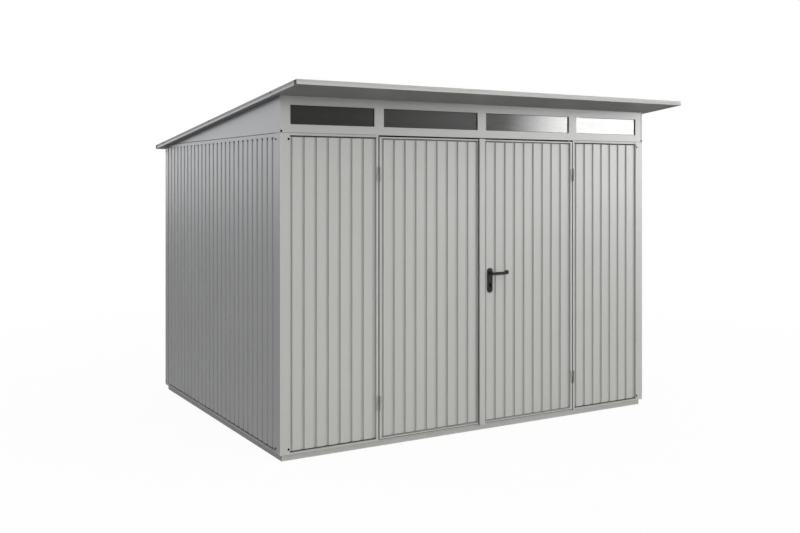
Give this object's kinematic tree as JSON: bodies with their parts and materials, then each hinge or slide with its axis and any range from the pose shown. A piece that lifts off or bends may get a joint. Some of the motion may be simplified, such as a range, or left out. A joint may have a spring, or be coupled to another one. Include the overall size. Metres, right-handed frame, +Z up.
{
  "type": "metal storage shed",
  "caption": "Pent roof shed of grey ribbed steel sheet with framed double doors, a lever handle and a strip of windows under a deep front overhang.",
  "frame": {"origin": "on the ground under the middle of the roof", "axes": "+X to the right along the front, +Y to the back, +Z up"},
  "size_m": [3.156, 2.907, 2.3488],
  "materials": {
    "frame_paint": "satin light grey powder coat",
    "sheet_paint": "satin light grey coil coat",
    "roof_paint": "satin light grey coil coat",
    "base_paint": "satin mid grey coat",
    "hinge_paint": "painted grey with bare edges",
    "window_glass": "smoked clear sheet",
    "handle_black": "black satin",
    "lock_steel": "zinc plated"
  },
  "bodies": {
    "shed": {"base_back": "base_paint", "base_front": "base_paint", "base_left": "base_paint", "base_right": "base_paint", "door_head": "frame_paint", "door_jamb_left": "frame_paint", "door_jamb_right": "frame_paint", "frame_hinges": "hinge_paint", "gable_left": "sheet_paint", "gable_right": "sheet_paint", "panel_back": "sheet_paint", "panel_front_left": "sheet_paint", "panel_front_right": "sheet_paint", "panel_left": "sheet_paint", "panel_right": "sheet_paint", "post_back_left": "frame_paint", "post_back_right": "frame_paint", "post_front_left": "frame_paint", "post_front_right": "frame_paint", "rail_bottom_back": "frame_paint", "rail_bottom_front": "frame_paint", "rail_bottom_left": "frame_paint", "rail_bottom_right": "frame_paint", "rail_top_back": "frame_paint", "rail_top_front": "frame_paint", "rail_top_left": "frame_paint", "rail_top_right": "frame_paint", "roof_beams": "roof_paint", "roof_deck": "roof_paint", "roof_soffit": "roof_paint", "roof_trim_back": "roof_paint", "roof_trim_front": "roof_paint", "roof_trim_left": "roof_paint", "roof_trim_right": "roof_paint", "window_frame": "frame_paint", "window_glass": "window_glass"},
    "left_leaf": {"left_leaf_frame": "frame_paint", "left_leaf_skin": "sheet_paint", "left_leaf_hinges": "hinge_paint"},
    "right_leaf": {"right_leaf_frame": "frame_paint", "right_leaf_skin": "sheet_paint", "right_leaf_hinges": "hinge_paint", "meeting_strip": "frame_paint", "lock_case": "lock_steel", "lock_cylinder": "handle_black", "handle_plate_outer": "handle_black", "handle_plate_inner": "handle_black"},
    "lever": {"lever_outer": "handle_black", "lever_inner": "handle_black"}
  },
  "joints": [
    {"name": "left_door", "type": "hinge", "parent": "shed", "child": "left_leaf", "pos_m": [-0.827, -1.1025, 1.041], "axis": [0, 0, -1], "range_deg": [0, 110]},
    {"name": "right_door", "type": "hinge", "parent": "shed", "child": "right_leaf", "pos_m": [0.824, -1.1025, 1.041], "axis": [0, 0, 1], "range_deg": [0, 110]},
    {"name": "handle_turn", "type": "hinge", "parent": "right_leaf", "child": "lever", "pos_m": [0.068, -1.0945, 1.098], "axis": [0, 1, 0], "range_deg": [0, 40], "stiffness_Nm_per_rad": 1.5, "springref_deg": -34.38}
  ]
}
